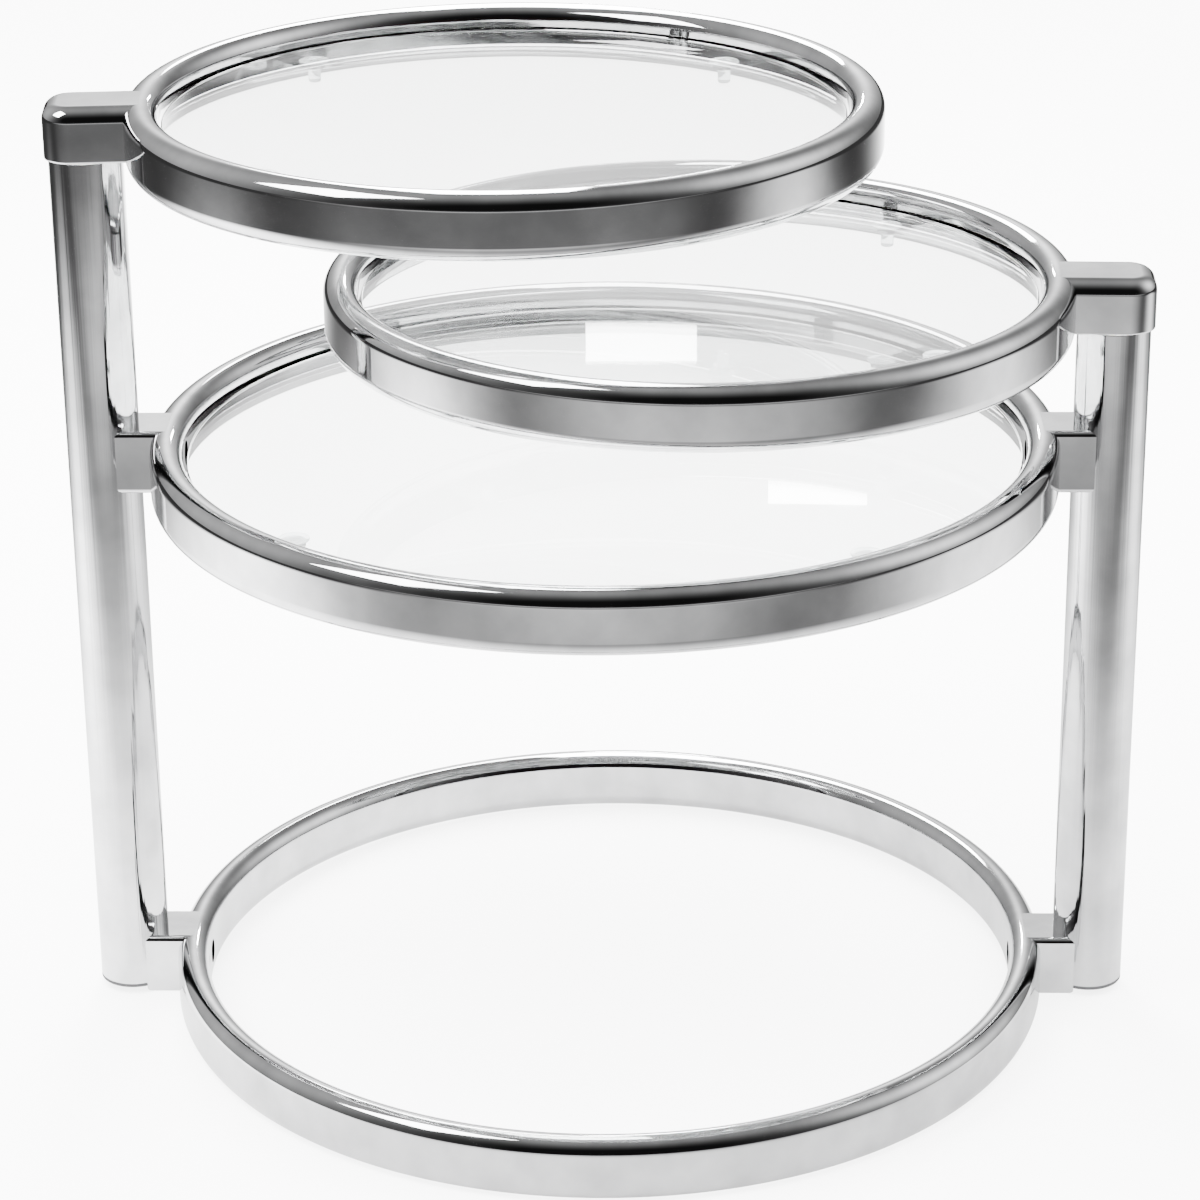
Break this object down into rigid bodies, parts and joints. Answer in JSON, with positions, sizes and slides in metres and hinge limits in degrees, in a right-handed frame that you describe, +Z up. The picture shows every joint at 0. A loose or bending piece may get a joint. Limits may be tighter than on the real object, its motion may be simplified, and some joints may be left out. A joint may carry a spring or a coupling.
{
  "type": "swivel side table",
  "caption": "Round tiered side table: chromed tube base and posts, a fixed glass shelf and two glass trays that swivel on the posts.",
  "frame": {"origin": "on the floor, at the centre of the base ring", "axes": "+Z up; +X from the centre towards the post that carries the middle tray; -Y is the front, from which both trays stand a little back"},
  "size_m": [0.5657, 0.472, 0.5],
  "materials": {
    "chrome": "mirror-polished chrome plate on steel",
    "steel": "zinc-plated, dull",
    "nylon": "natural moulded nylon",
    "black_plastic": "fine moulded grain",
    "clear_vinyl": "clear soft vinyl",
    "glass": "clear float glass with a ground and polished edge"
  },
  "bodies": {
    "frame": {"base_ring": "chrome", "shelf_ring": "chrome", "shelf_glass": "glass", "shelf_tab_1": "chrome", "shelf_pad_1": "clear_vinyl", "shelf_tab_2": "chrome", "shelf_pad_2": "clear_vinyl", "shelf_tab_3": "chrome", "shelf_pad_3": "clear_vinyl", "shelf_tab_4": "chrome", "shelf_pad_4": "clear_vinyl", "post_left": "chrome", "foot_plug_left": "black_plastic", "upper_bush_left": "nylon", "lower_bush_left": "nylon", "base_stub_left": "chrome", "base_bolt_left": "steel", "base_insert_left": "steel", "shelf_stub_left": "chrome", "shelf_bolt_left": "steel", "shelf_insert_left": "steel", "post_right": "chrome", "foot_plug_right": "black_plastic", "upper_bush_right": "nylon", "lower_bush_right": "nylon", "base_stub_right": "chrome", "base_bolt_right": "steel", "base_insert_right": "steel", "shelf_stub_right": "chrome", "shelf_bolt_right": "steel", "shelf_insert_right": "steel"},
    "middle_tier": {"middle_arm": "chrome", "middle_pivot_pin": "steel", "middle_ring": "chrome", "middle_glass": "glass", "middle_tab_1": "chrome", "middle_pad_1": "clear_vinyl", "middle_tab_2": "chrome", "middle_pad_2": "clear_vinyl", "middle_tab_3": "chrome", "middle_pad_3": "clear_vinyl", "middle_tab_4": "chrome", "middle_pad_4": "clear_vinyl"},
    "top_tier": {"top_arm": "chrome", "top_pivot_pin": "steel", "top_ring": "chrome", "top_glass": "glass", "top_tab_1": "chrome", "top_pad_1": "clear_vinyl", "top_tab_2": "chrome", "top_pad_2": "clear_vinyl", "top_tab_3": "chrome", "top_pad_3": "clear_vinyl", "top_tab_4": "chrome", "top_pad_4": "clear_vinyl"}
  },
  "joints": [
    {"name": "middle_swivel", "type": "hinge", "parent": "frame", "child": "middle_tier", "pos_m": [0.262, 0, 0.395], "axis": [0, 0, 1], "continuous": true},
    {"name": "top_swivel", "type": "hinge", "parent": "frame", "child": "top_tier", "pos_m": [-0.262, 0, 0.486], "axis": [0, 0, 1], "continuous": true}
  ]
}
